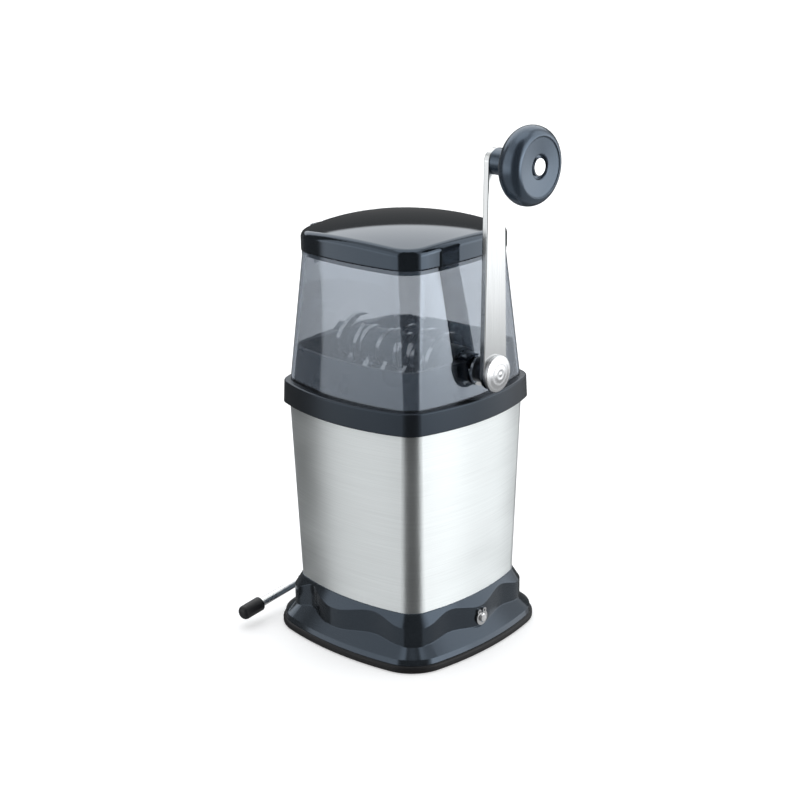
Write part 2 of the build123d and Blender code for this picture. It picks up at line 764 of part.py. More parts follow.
with BuildPart() as crank_spacer:
    round_bar_x(spacer_radius, spacer_start, arm_inner_face, shaft_height)
    round_bar_x(shaft_radius, spacer_start, arm_inner_face, shaft_height, Mode.SUBTRACT)
save(crank_spacer.part, "crank_spacer")

with BuildPart() as crank_arm:
    with BuildSketch(plane_across_x(arm_inner_face)):
        with Locations((0, shaft_height)):
            Circle(arm_hub_radius)
        with Locations((0, knob_height)):
            Circle(arm_tip_radius)
        make_hull()
    extrude(amount=arm_thickness)
    fillet(crank_arm.faces().filter_by(Axis.X).edges(), arm_edge_radius)
    with BuildSketch(plane_across_x(arm_inner_face)):
        with Locations((0, shaft_height)):
            Rectangle(tang_width + seat_clearance, tang_width + seat_clearance)
        with Locations((0, knob_height)):
            Circle(knob_pin_radius)
    extrude(amount=arm_thickness, mode=Mode.SUBTRACT)
save(crank_arm.part, "crank_arm")

# Hub screw: a stepped disc with a domed middle.
with BuildPart() as hub_screw:
    round_bar_x(hub_screw_radius, screw_bottom, arm_outer_face, shaft_height)
    round_bar_x(hub_disc_radius, arm_outer_face, arm_outer_face + hub_disc_height, shaft_height)
    step_start = arm_outer_face + hub_disc_height
    for step in range(hub_steps):
        step_radius = hub_disc_radius - hub_step_width * (step + 1)
        round_bar_x(step_radius, step_start, step_start + hub_step_height, shaft_height)
        step_start += hub_step_height
    chamfer(hub_screw.faces().sort_by(Axis.X)[-1].edges(), hub_step_height / 2)
save(hub_screw.part, "hub_screw")

# Knob: a turned grip on a short stem, with a dished face and a recess for its pin's head.
knob_start = arm_outer_face + knob_gap
knob_end = knob_start + knob_length
knob_bore = knob_pin_radius + running_clearance
neck_end = knob_start + knob_stem_length
belly_place = knob_start + knob_belly
recess_bottom = knob_end - knob_dish - knob_recess_depth
back_start = (neck_end, knob_back_radius)
belly = (belly_place, knob_radius)
face_edge = (knob_end, knob_face_radius)
eighth = math.sqrt(0.5)
back_middle = (
    belly_place - (belly_place - neck_end) * eighth,
    knob_back_radius + (knob_radius - knob_back_radius) * eighth,
)
front_middle = (
    belly_place + (knob_end - belly_place) * eighth,
    knob_face_radius + (knob_radius - knob_face_radius) * eighth,
)
with BuildPart() as knob:
    knob_axis_plane = Plane(origin=(0, 0, knob_height), x_dir=(1, 0, 0), z_dir=(0, -1, 0))
    with BuildSketch(knob_axis_plane):
        with BuildLine():
            Polyline(
                face_edge,
                (knob_end - knob_dish, knob_face_radius - knob_dish),
                (knob_end - knob_dish, knob_recess_radius),
                (recess_bottom, knob_recess_radius),
                (recess_bottom, knob_bore),
                (knob_start, knob_bore),
                (knob_start, knob_stem_radius),
                (neck_end, knob_stem_radius),
                back_start,
            )
            ThreePointArc(back_start, back_middle, belly)
            ThreePointArc(belly, front_middle, face_edge)
        make_face()
    revolve(axis=Axis((0, 0, knob_height), (1, 0, 0)))
save(knob.part, "knob")

head_start = recess_bottom + knob_gap
with BuildPart() as knob_pin:
    round_bar_x(knob_rivet_radius, arm_inner_face - knob_rivet_height, arm_inner_face, knob_height)
    round_bar_x(knob_pin_radius, arm_inner_face, head_start, knob_height)
    round_bar_x(knob_pin_head_radius, head_start, head_start + knob_pin_head_height, knob_height)
    fillet(knob_pin.faces().sort_by(Axis.X)[-1].edges(), knob_pin_head_round)
save(knob_pin.part, "knob_pin")

# ================================================================ lid
lip_outline = hopper_rim.inset(hopper_wall + lid_lip_gap)
inside_edge = lid_edge.inset(lid_wall)


def pillow(outline, top, edge_radius):
    """A block over an outline, from the lid's lower edge to a domed top with a rounded edge."""
    middle = top - lid_dome_radius
    lean = math.asin(2 * outline.half_width / lid_dome_radius)
    # The dome's surface is swept front to back about a level axis, so that it has no pole or seam on the lid.
    sweep_start = Plane(origin=(0, 0, middle), x_dir=(1, 0, 0), z_dir=(0, -math.cos(lean), math.sin(lean)))
    spread = 2 * math.degrees(lean)
    with BuildPart() as block:
        extrude(outline.at(lid_bottom_height), amount=top - lid_bottom_height)
        with BuildSketch(sweep_start):
            with BuildLine():
                dome = CenterArc((0, 0), lid_dome_radius, 90 - spread / 2, spread)
                over = CenterArc((0, 0), lid_dome_radius + lid_height, 90 - spread / 2, spread)
                Line(dome @ 0, over @ 0)
                Line(dome @ 1, over @ 1)
            make_face()
        revolve(axis=Axis((0, 0, middle), (1, 0, 0)), revolution_arc=spread, mode=Mode.SUBTRACT)
        fillet(block.faces().sort_by(Axis.Z)[-1].edges(), edge_radius)
    return block.part


lid_top = lid_bottom_height + lid_height
lid_outside = pillow(lid_edge, lid_top, lid_edge_radius)
lid_inside = pillow(inside_edge, lid_top - lid_wall, lid_edge_radius - lid_wall)
with BuildPart() as lid:
    add(lid_outside)
    add(lid_inside, mode=Mode.SUBTRACT)
    extrude(inside_edge.inset(-lid_wall / 2).at(lid_bottom_height), amount=lid_lip_wall)
    lip_bottom = lid_bottom_height - lid_lip_depth
    extrude(lip_outline.at(lip_bottom), amount=lid_lip_depth)
    lip_inside = lip_outline.inset(lid_lip_wall)
    extrude(lip_inside.at(lip_bottom), amount=lid_lip_depth + lid_lip_wall, mode=Mode.SUBTRACT)
    barrel_half_length = hinge_half_length - hinge_lug_width - hinge_side_gap
    notch_bottom = lid_bottom_height
    notch_top = hinge_height + 2 * hinge_barrel_radius
    for start in (-hinge_half_length - hinge_side_gap, barrel_half_length):
        with BuildSketch(plane_across_y(start)):
            with Locations((hinge_x + hinge_barrel_radius + nest_clearance, notch_bottom)):
                Rectangle(notch_depth, notch_top - notch_bottom, align=(Align.MAX, Align.MIN))
        extrude(amount=-(hinge_lug_width + 2 * hinge_side_gap), mode=Mode.SUBTRACT)
    with BuildSketch(plane_across_y(-barrel_half_length)):
        with Locations((hinge_x, hinge_height)):
            Circle(hinge_barrel_radius)
    extrude(amount=-2 * barrel_half_length)
    with BuildSketch(plane_across_y(-hinge_half_length)):
        with Locations((hinge_x, hinge_height)):
            Circle(hinge_pin_radius + running_clearance)
    extrude(amount=-2 * hinge_half_length, mode=Mode.SUBTRACT)
save(lid.part, "lid")
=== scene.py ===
"""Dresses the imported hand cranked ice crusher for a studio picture.

Each sub-assembly is a class that holds its sizes in metres and builds and dresses its own pieces. The frame is
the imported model: +Z up, +X towards the crank, the origin on the table under the middle of the foot.
"""

import logging
import math
from collections.abc import Iterable
from dataclasses import dataclass, field
from enum import Enum

import bpy
from mathutils import Matrix, Vector


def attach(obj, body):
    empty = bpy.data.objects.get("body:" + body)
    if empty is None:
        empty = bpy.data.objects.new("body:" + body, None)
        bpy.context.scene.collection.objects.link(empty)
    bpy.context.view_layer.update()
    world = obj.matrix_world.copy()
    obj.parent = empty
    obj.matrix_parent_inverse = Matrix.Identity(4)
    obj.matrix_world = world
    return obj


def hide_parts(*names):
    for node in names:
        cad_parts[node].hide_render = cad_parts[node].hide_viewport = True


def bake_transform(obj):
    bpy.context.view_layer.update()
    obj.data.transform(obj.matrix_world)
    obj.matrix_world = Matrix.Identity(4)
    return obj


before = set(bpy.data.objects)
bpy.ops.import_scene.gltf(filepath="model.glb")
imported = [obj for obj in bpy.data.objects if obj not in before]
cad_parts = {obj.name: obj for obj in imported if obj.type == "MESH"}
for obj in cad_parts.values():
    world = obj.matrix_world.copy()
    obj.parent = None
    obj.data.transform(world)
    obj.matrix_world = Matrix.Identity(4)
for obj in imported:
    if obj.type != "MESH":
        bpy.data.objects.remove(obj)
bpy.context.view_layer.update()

LOG = logging.getLogger("ice_crusher")

Colour = tuple[float, float, float]

# Where a noise pattern counts as dark and as light.
PATTERN_DARK = 0.3
PATTERN_LIGHT = 0.7
EDGE_SAMPLES = 6
COOL_SHINE: Colour = (0.64, 0.8, 1.0)


class Body(Enum):
    """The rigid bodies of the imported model, by name."""

    BASE = "base"
    LEVER = "lever"
    HEAD = "head"
    CRANK = "crank"
    KNOB = "knob"
    LID = "lid"
    PULLER = "puller"


class Grain(Enum):
    """Which way the lines of a brushed finish run, as scales of the pattern along X, Y and Z."""

    LEVEL = (30.0, 30.0, 6000.0)
    UPRIGHT = (2600.0, 2600.0, 22.0)
    ACROSS_X = (2200.0, 2200.0, 60.0)


# Materials


class NodeSheet:
    """A material's node tree with short calls for the nodes that the finishes share."""

    def __init__(self, name: str) -> None:
        """Starts an empty material.

        Args:
            name: The material's name.
        """
        self.material = bpy.data.materials.new(name)
        self.material.use_nodes = True
        self.tree = self.material.node_tree
        self.shader = self.tree.nodes["Principled BSDF"]
        self.place = self.tree.nodes.new("ShaderNodeTexCoord")

    def set(self, **values: object) -> None:
        """Sets sockets of the shader to constants.

        Args:
            values: Socket names in lower case with _ for a space, and their values.
        """
        for key, value in values.items():
            socket = next(s for s in self.shader.inputs if s.name.lower().replace(" ", "_") == key)
            socket.default_value = (*value, 1.0) if socket.type == "RGBA" else value

    def noise(self, scale: Iterable[float], detail: float = 4.0) -> bpy.types.Node:
        """Adds a noise pattern on the piece's own place.

        Args:
            scale: Scales of the pattern along X, Y and Z, per metre.
            detail: Levels of finer noise.

        Returns:
            The noise node.
        """
        mapping = self.tree.nodes.new("ShaderNodeMapping")
        mapping.inputs["Scale"].default_value = tuple(scale)
        self.tree.links.new(self.place.outputs["Object"], mapping.inputs["Vector"])
        noise = self.tree.nodes.new("ShaderNodeTexNoise")
        noise.inputs["Scale"].default_value = 1.0
        noise.inputs["Detail"].default_value = detail
        self.tree.links.new(mapping.outputs["Vector"], noise.inputs["Vector"])
        return noise

    def rings(self, centre: Iterable[float], scale: float) -> bpy.types.Node:
        """Adds fine rings about an axis along X.

        Args:
            centre: A point of the axis, in metres.
            scale: How close the rings are, per metre.

        Returns:
            The ring pattern's node.
        """
        mapping = self.tree.nodes.new("ShaderNodeMapping")
        mapping.inputs["Location"].default_value = tuple(-part for part in centre)
        self.tree.links.new(self.place.outputs["Object"], mapping.inputs["Vector"])
        wave = self.tree.nodes.new("ShaderNodeTexWave")
        wave.wave_type = "RINGS"
        wave.rings_direction = "X"
        wave.inputs["Scale"].default_value = scale
        wave.inputs["Distortion"].default_value = 0.8
        self.tree.links.new(mapping.outputs["Vector"], wave.inputs["Vector"])
        return wave

    def soften(self, radius: float) -> None:
        """Rounds the look of sharp edges.

        Args:
            radius: Radius of the rounding in metres.
        """
        edge = self.tree.nodes.new("ShaderNodeBevel")
        edge.samples = EDGE_SAMPLES
        edge.inputs["Radius"].default_value = radius
        self.tree.links.new(edge.outputs["Normal"], self.shader.inputs["Normal"])

    def spread(self, source: bpy.types.Node, low: float, high: float, socket: str) -> None:
        """Sends a pattern to a shader socket as a number between two values.

        Args:
            source: The pattern's node.
            low: Value where the pattern is dark.
            high: Value where the pattern is bright.
            socket: The shader socket's name.
        """
        span = self.tree.nodes.new("ShaderNodeMapRange")
        span.inputs["From Min"].default_value = PATTERN_DARK
        span.inputs["From Max"].default_value = PATTERN_LIGHT
        span.inputs["To Min"].default_value = low
        span.inputs["To Max"].default_value = high
        self.tree.links.new(source.outputs[0], span.inputs["Value"])
        self.tree.links.new(span.outputs["Result"], self.shader.inputs[socket])

    def tint(self, source: bpy.types.Node, dark: Colour, light: Colour) -> None:
        """Colours the surface between two colours by a pattern.

        Args:
            source: The pattern's node.
            dark: Colour where the pattern is dark.
            light: Colour where the pattern is bright.
        """
        ramp = self.tree.nodes.new("ShaderNodeValToRGB")
        ramp.color_ramp.elements[0].position = PATTERN_DARK
        ramp.color_ramp.elements[0].color = (*dark, 1.0)
        ramp.color_ramp.elements[1].position = PATTERN_LIGHT
        ramp.color_ramp.elements[1].color = (*light, 1.0)
        self.tree.links.new(source.outputs[0], ramp.inputs["Fac"])
        self.tree.links.new(ramp.outputs["Color"], self.shader.inputs["Base Color"])

    def relief(self, source: bpy.types.Node, height: float, strength: float) -> None:
        """Raises the surface by a pattern, after any relief that is there already.

        Args:
            source: The pattern's node.
            height: Height of the relief in metres.
            strength: Share of the relief that shows.
        """
        bump = self.tree.nodes.new("ShaderNodeBump")
        bump.inputs["Distance"].default_value = height
        bump.inputs["Strength"].default_value = strength
        self.tree.links.new(source.outputs[0], bump.inputs["Height"])
        normal = self.shader.inputs["Normal"]
        if normal.is_linked:
            self.tree.links.new(normal.links[0].from_socket, bump.inputs["Normal"])
        self.tree.links.new(bump.outputs["Normal"], normal)


def between(colour: Colour, share: float) -> Colour:
    """A colour made lighter or darker by a share of itself."""
    return (colour[0] * share, colour[1] * share, colour[2] * share)


@dataclass(frozen=True)
class MouldedPlastic:
    """Injection moulded plastic, from matte to high gloss."""

    name: str
    colour: Colour
    roughness: float
    shine: float = 1.0
    texture: float = 0.000004
    texture_scale: float = 900.0
    edge_round: float = 0.0006
    ior: float = 1.5
    shine_tint: Colour = COOL_SHINE
    cloud_scale: float = 35.0
    tones: tuple[float, float] = (0.92, 1.08)
    gloss: tuple[float, float] = (0.88, 1.12)
    texture_detail: float = 2.0
    texture_strength: float = 0.5

    def make(self) -> bpy.types.Material:
        """Builds the material: a slight change of tone, uneven gloss and a fine mould texture."""
        sheet = NodeSheet(self.name)
        sheet.set(ior=self.ior, specular_ior_level=self.shine, specular_tint=self.shine_tint)
        sheet.soften(self.edge_round)
        cloud = sheet.noise((self.cloud_scale,) * 3)
        sheet.tint(cloud, between(self.colour, self.tones[0]), between(self.colour, self.tones[1]))
        sheet.spread(cloud, self.roughness * self.gloss[0], self.roughness * self.gloss[1], "Roughness")
        fine = sheet.noise((self.texture_scale,) * 3, self.texture_detail)
        sheet.relief(fine, self.texture, self.texture_strength)
        return sheet.material


@dataclass(frozen=True)
class BrushedSteel:
    """Stainless steel with brushed lines and soft clouds in the shine."""

    name: str
    colour: Colour
    roughness: float
    grain: Grain
    depth: float = 0.000012
    stretch: float = 0.0
    stretch_turn: float = 0.25
    line_detail: float = 6.0
    line_strength: float = 0.6
    cloud_scale: Colour = (18.0, 18.0, 30.0)
    cloud_detail: float = 3.0
    tones: tuple[float, float] = (0.93, 1.05)
    gloss: tuple[float, float] = (0.85, 1.15)

    def make(self) -> bpy.types.Material:
        """Builds the material."""
        sheet = NodeSheet(self.name)
        sheet.set(metallic=1.0, anisotropic=self.stretch, anisotropic_rotation=self.stretch_turn)
        lines = sheet.noise(self.grain.value, self.line_detail)
        clouds = sheet.noise(self.cloud_scale, self.cloud_detail)
        sheet.tint(lines, between(self.colour, self.tones[0]), between(self.colour, self.tones[1]))
        sheet.spread(clouds, self.roughness * self.gloss[0], self.roughness * self.gloss[1], "Roughness")
        sheet.relief(lines, self.depth, self.line_strength)
        return sheet.material


@dataclass(frozen=True)
class ChromePlate:
    """Polished chrome with faint wipe marks."""

    name: str
    colour: Colour
    roughness: float

    def make(self) -> bpy.types.Material:
        """Builds the material."""
        sheet = NodeSheet(self.name)
        sheet.set(metallic=1.0)
        wipe = sheet.noise((160.0, 160.0, 40.0), 5.0)
        sheet.tint(wipe, between(self.colour, 0.97), between(self.colour, 1.02))
        sheet.spread(wipe, self.roughness * 0.6, self.roughness * 1.6, "Roughness")
        return sheet.material


@dataclass(frozen=True)
class SpunChrome:
    """Bright metal turned on a lathe, with fine rings about an axis along X."""

    name: str
    colour: Colour
    roughness: float
    centre: tuple[float, float, float]
    ring_scale: float = 900.0

    def make(self) -> bpy.types.Material:
        """Builds the material."""
        sheet = NodeSheet(self.name)
        sheet.set(metallic=1.0)
        rings = sheet.rings(self.centre, self.ring_scale)
        sheet.tint(rings, between(self.colour, 0.95), between(self.colour, 1.03))
        sheet.spread(rings, self.roughness * 0.8, self.roughness * 1.2, "Roughness")
        sheet.relief(rings, 0.000004, 0.5)
        return sheet.material


@dataclass(frozen=True)
class SmokeTint:
    """Clear smoke tinted plastic, darker where it is thicker."""

    name: str
    colour: Colour
    roughness: float
    density: float
    shine: float = 1.0
    ior: float = 2.0
    shine_tint: Colour = (0.8, 0.89, 1.0)

    def make(self) -> bpy.types.Material:
        """Builds the material."""
        sheet = NodeSheet(self.name)
        sheet.set(transmission_weight=1.0, ior=self.ior)
        sheet.set(specular_ior_level=self.shine, specular_tint=self.shine_tint)
        cloud = sheet.noise((25.0, 25.0, 25.0), 2.0)
        sheet.tint(cloud, (0.96, 0.965, 0.97), (1.0, 1.0, 1.0))
        sheet.spread(cloud, self.roughness * 0.7, self.roughness * 1.3, "Roughness")
        depth = sheet.tree.nodes.new("ShaderNodeVolumeAbsorption")
        depth.inputs["Color"].default_value = (*self.colour, 1.0)
        depth.inputs["Density"].default_value = self.density
        sheet.tree.links.new(depth.outputs["Volume"], sheet.tree.nodes["Material Output"].inputs["Volume"])
        return sheet.material


@dataclass(frozen=True)
class SoftRubber:
    """Matte rubber with a fine pebbled skin."""

    name: str
    colour: Colour
    roughness: float

    def make(self) -> bpy.types.Material:
        """Builds the material."""
        sheet = NodeSheet(self.name)
        sheet.set(specular_ior_level=0.35)
        cloud = sheet.noise((60.0, 60.0, 60.0))
        sheet.tint(cloud, between(self.colour, 0.85), between(self.colour, 1.15))
        sheet.spread(cloud, self.roughness * 0.9, min(1.0, self.roughness * 1.1), "Roughness")
        sheet.relief(sheet.noise((2200.0,) * 3, 2.0), 0.00002, 0.6)
        return sheet.material


@dataclass(frozen=True)
class Finishes:
    """The finishes of the whole crusher."""

    foot_rubber: bpy.types.Material = field(
        default_factory=SoftRubber("foot rubber", (0.009, 0.009, 0.01), 0.5).make
    )
    grip_rubber: bpy.types.Material = field(
        default_factory=SoftRubber("grip rubber", (0.014, 0.014, 0.016), 0.38).make
    )
    base_plastic: bpy.types.Material = field(
        default_factory=MouldedPlastic("base plastic", (0.012, 0.014, 0.016), 0.13, 1.0).make
    )
    collar_plastic: bpy.types.Material = field(
        default_factory=MouldedPlastic("collar plastic", (0.0065, 0.007, 0.008), 0.3, 0.7).make
    )
    lid_plastic: bpy.types.Material = field(
        default_factory=MouldedPlastic("lid plastic", (0.005, 0.006, 0.007), 0.05, 1.0).make
    )
    knob_plastic: bpy.types.Material = field(
        default_factory=MouldedPlastic("knob plastic", (0.013, 0.019, 0.027), 0.24, 1.0, ior=1.65).make
    )
    trough_plastic: bpy.types.Material = field(
        default_factory=MouldedPlastic("trough plastic", (0.036, 0.047, 0.066), 0.28, 0.8).make
    )
    bin_plastic: bpy.types.Material = field(
        default_factory=MouldedPlastic("bin plastic", (0.6, 0.61, 0.62), 0.4, 0.5).make
    )
    bearing_plastic: bpy.types.Material = field(
        default_factory=MouldedPlastic("bearing plastic", (0.008, 0.008, 0.01), 0.25, 0.7).make
    )
    rotor_plastic: bpy.types.Material = field(
        default_factory=MouldedPlastic("rotor plastic", (0.06, 0.075, 0.08), 0.3, 0.7).make
    )
    smoke: bpy.types.Material = field(
        default_factory=SmokeTint("smoke tint", (0.5, 0.54, 0.59), 0.02, 580.0).make
    )
    body_steel: bpy.types.Material = field(
        default_factory=BrushedSteel("body steel", (0.88, 0.91, 0.905), 0.45, Grain.LEVEL, 0.000003, 0.8).make
    )
    blade_steel: bpy.types.Material = field(
        default_factory=BrushedSteel("blade steel", (0.8, 0.8, 0.8), 0.2, Grain.ACROSS_X, 0.000004).make
    )
    rod_chrome: bpy.types.Material = field(
        default_factory=ChromePlate("rod chrome", (0.95, 0.95, 0.95), 0.28).make
    )
    chrome: bpy.types.Material = field(
        default_factory=ChromePlate("bright chrome", (0.86, 0.86, 0.86), 0.06).make
    )
    arm_chrome: bpy.types.Material = field(
        default_factory=BrushedSteel("arm chrome", (0.66, 0.67, 0.67), 0.16, Grain.UPRIGHT, 0.000002).make
    )
    hub_chrome: bpy.types.Material = field(
        default_factory=SpunChrome("spun chrome", (0.74, 0.745, 0.75), 0.3, (0.0, 0.0, 0.1627)).make
    )


def dress(node: str, material: bpy.types.Material) -> None:
    """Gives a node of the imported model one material.

    Args:
        node: The node's name.
        material: Its finish.
    """
    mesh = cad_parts[node].data
    mesh.materials.clear()
    mesh.materials.append(material)
    LOG.info("dressed %s in %s", node, material.name)


# Modelling

SMOOTH_ANGLE = math.radians(38.0)
WELD_DISTANCE = 0.000002


@dataclass(frozen=True)
class Ring:
    """One ring of a turned profile, in metres: its radius and how far along the axis it lies."""

    radius: float
    along: float


def curve_rings(centre: Ring, reach: Ring, first: float, last: float, count: int) -> list[Ring]:
    """Rings along part of an ellipse of the profile.

    Args:
        centre: The ellipse's centre.
        reach: Its half sizes, across the axis and along it.
        first: Where it starts, in degrees from straight outwards towards the far end.
        last: Where it ends.
        count: How many rings.

    Returns:
        The rings in order.
    """
    turns = [math.radians(first + (last - first) * step / (count - 1)) for step in range(count)]
    return [
        Ring(centre.radius + reach.radius * math.cos(turn), centre.along + reach.along * math.sin(turn))
        for turn in turns
    ]


def select_only(piece: bpy.types.Object) -> None:
    """Selects one piece and nothing else.

    Args:
        piece: The piece.
    """
    bpy.ops.object.select_all(action="DESELECT")
    piece.select_set(True)
    bpy.context.view_layer.objects.active = piece


def apply_place() -> None:
    """Moves the selected piece's place into its mesh."""
    bpy.ops.object.transform_apply(location=True, rotation=True, scale=True)


def apply_modifier(piece: bpy.types.Object, kind: str, **settings: object) -> None:
    """Adds a modifier to the selected piece and applies it.

    Args:
        piece: The piece.
        kind: The modifier's type.
        settings: The modifier's settings.
    """
    modifier = piece.modifiers.new(kind.lower(), kind)
    for key, value in settings.items():
        setattr(modifier, key, value)
    bpy.ops.object.modifier_apply(modifier=modifier.name)


def close_end() -> None:
    """Closes the selected ring with a fan of faces that meet in a point."""
    bpy.ops.mesh.extrude_region_move()
    bpy.ops.mesh.merge(type="CENTER")


def turned(name: str, profile: list[Ring], sides: int) -> bpy.types.Object:
    """Turns a profile about the Z axis, ring by ring. A profile whose ends don't meet has them closed.

    Args:
        name: The piece's name.
        profile: Its rings in order. A profile that ends at its first ring makes a hollow piece.
        sides: Faces round the axis.

    Returns:
        The piece.
    """
    start = profile[0]
    bpy.ops.object.select_all(action="DESELECT")
    bpy.ops.mesh.primitive_circle_add(vertices=sides, radius=start.radius, location=(0.0, 0.0, start.along))
    piece = bpy.context.object
    piece.name = name
    piece.data.name = name
    bpy.ops.object.mode_set(mode="EDIT")
    bpy.ops.mesh.select_mode(type="VERT")
    bpy.ops.mesh.select_all(action="SELECT")
    for before, ring in zip(profile, profile[1:]):
        rise = (0.0, 0.0, ring.along - before.along)
        share = ring.radius / before.radius
        bpy.ops.mesh.extrude_region_move(TRANSFORM_OT_translate={"value": rise})
        bpy.ops.transform.resize(value=(share, share, 1.0), center_override=(0.0, 0.0, ring.along))
    if start != profile[-1]:
        close_end()
        bpy.ops.mesh.select_all(action="DESELECT")
        bpy.ops.mesh.select_non_manifold()
        close_end()
    bpy.ops.mesh.select_all(action="SELECT")
    bpy.ops.mesh.remove_doubles(threshold=WELD_DISTANCE)
    bpy.ops.mesh.normals_make_consistent(inside=False)
    bpy.ops.object.mode_set(mode="OBJECT")
    apply_place()
    bpy.ops.object.shade_smooth_by_angle(angle=SMOOTH_ANGLE)
    return piece


def stand(piece: bpy.types.Object, place: Vector, axis: Vector) -> None:
    """Moves a turned piece so that its axis starts at a place and points a given way.

    Args:
        piece: The piece, turned about the Z axis.
        place: Where its axis starts.
        axis: Which way its axis points.
    """
    select_only(piece)
    piece.rotation_euler = Vector((0.0, 0.0, 1.0)).rotation_difference(axis).to_euler()
    piece.location = place
    apply_place()


def cover(piece: bpy.types.Object, slot: str, material: bpy.types.Material) -> None:
    """Gives a new piece its finish.

    Args:
        piece: The piece.
        slot: Not used.
        material: Its finish.
    """
    piece.data.materials.clear()
    piece.data.materials.append(material)
    LOG.info("built %s in %s", piece.name, material.name)


@dataclass
class Foot:
    """Rubber foot, base housing and what is fixed in them. The suction cup is a dish with sealing grooves."""

    finishes: Finishes
    cup_radius: float = 0.0469
    cup_hole: float = 0.012
    cup_floor: float = 0.0008
    cup_rise: float = 0.0023
    cup_wall: float = 0.002
    cup_lip: float = 0.0011
    groove_depth: float = 0.00035
    groove_half_width: float = 0.0005
    groove_places: tuple[float, ...] = (0.0365, 0.0395, 0.0425)

    def under(self, radius: float) -> float:
        """Height of the cup's underside at a radius."""
        return self.cup_floor + self.cup_rise * (self.cup_radius - radius) / (self.cup_radius - self.cup_hole)

    def build_cup(self) -> None:
        """Builds the suction cup, with the puller in its middle."""
        profile = [Ring(self.cup_hole, self.under(self.cup_hole))]
        for place in self.groove_places:
            for side, depth in ((-1.0, 0.0), (0.0, self.groove_depth), (1.0, 0.0)):
                radius = place + side * self.groove_half_width
                profile.append(Ring(radius, self.under(radius) + depth))
        lip_half = self.cup_lip / 2
        lip = Ring(self.cup_radius - lip_half, self.cup_floor + lip_half)
        profile += curve_rings(lip, Ring(lip_half, lip_half), -90.0, 90.0, 9)
        profile.append(Ring(self.cup_hole, self.under(self.cup_hole) + self.cup_wall))
        profile.append(profile[0])
        cup = turned("suction_cup_dish", profile, 128)
        cover(cup, "cup_rubber", self.finishes.foot_rubber)
        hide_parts("suction_cup")
        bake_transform(cup)

    def build(self) -> None:
        """Builds the cup and dresses the foot and the base."""
        self.build_cup()
        dress("rubber_foot", self.finishes.foot_rubber)
        dress("cup_boss", self.finishes.foot_rubber)
        dress("cup_stud", self.finishes.blade_steel)
        dress("pull_yoke", self.finishes.bearing_plastic)
        dress("base_housing", self.finishes.base_plastic)
        dress("base_screws", self.finishes.blade_steel)


@dataclass
class SuctionLever:
    """The lever that works the suction cup, with a soft grip pushed over its end."""

    finishes: Finishes
    corner: Vector = field(default_factory=lambda: Vector((-0.0625, 0.0, 0.0172)))
    slope: float = math.radians(6.7)
    reach: float = 0.075
    grip_length: float = 0.015
    grip_radius: float = 0.0042
    grip_end_round: float = 0.0028
    grip_mouth_round: float = 0.0007
    grip_cap: float = 0.0016
    rod_radius: float = 0.00252

    def build_grip(self) -> None:
        """Builds the grip: a rolled mouth, a straight barrel and a rounded end over the rod's end."""
        barrel = self.grip_radius
        mouth = Ring(barrel - self.grip_mouth_round, self.grip_mouth_round)
        end = Ring(barrel - self.grip_end_round, self.grip_length - self.grip_end_round)
        profile = [Ring(self.rod_radius, self.grip_length - self.grip_cap), Ring(self.rod_radius, 0.0)]
        profile += curve_rings(mouth, Ring(self.grip_mouth_round, self.grip_mouth_round), -90.0, 0.0, 6)
        profile += curve_rings(end, Ring(self.grip_end_round, self.grip_end_round), 0.0, 90.0, 12)
        grip = turned("grip_sleeve", profile, 64)
        along = Vector((0.0, -math.cos(self.slope), -math.sin(self.slope)))
        stand(grip, self.corner + along * (self.reach - self.grip_length), along)
        cover(grip, "foot_rubber", self.finishes.grip_rubber)
        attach(grip, Body.LEVER.value)
        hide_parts("lever_grip")

    def build(self) -> None:
        """Builds the grip and dresses the lever."""
        self.build_grip()
        dress("lever_rod", self.finishes.rod_chrome)
        dress("lever_cam", self.finishes.bearing_plastic)
        dress("axle_clip", self.finishes.chrome)


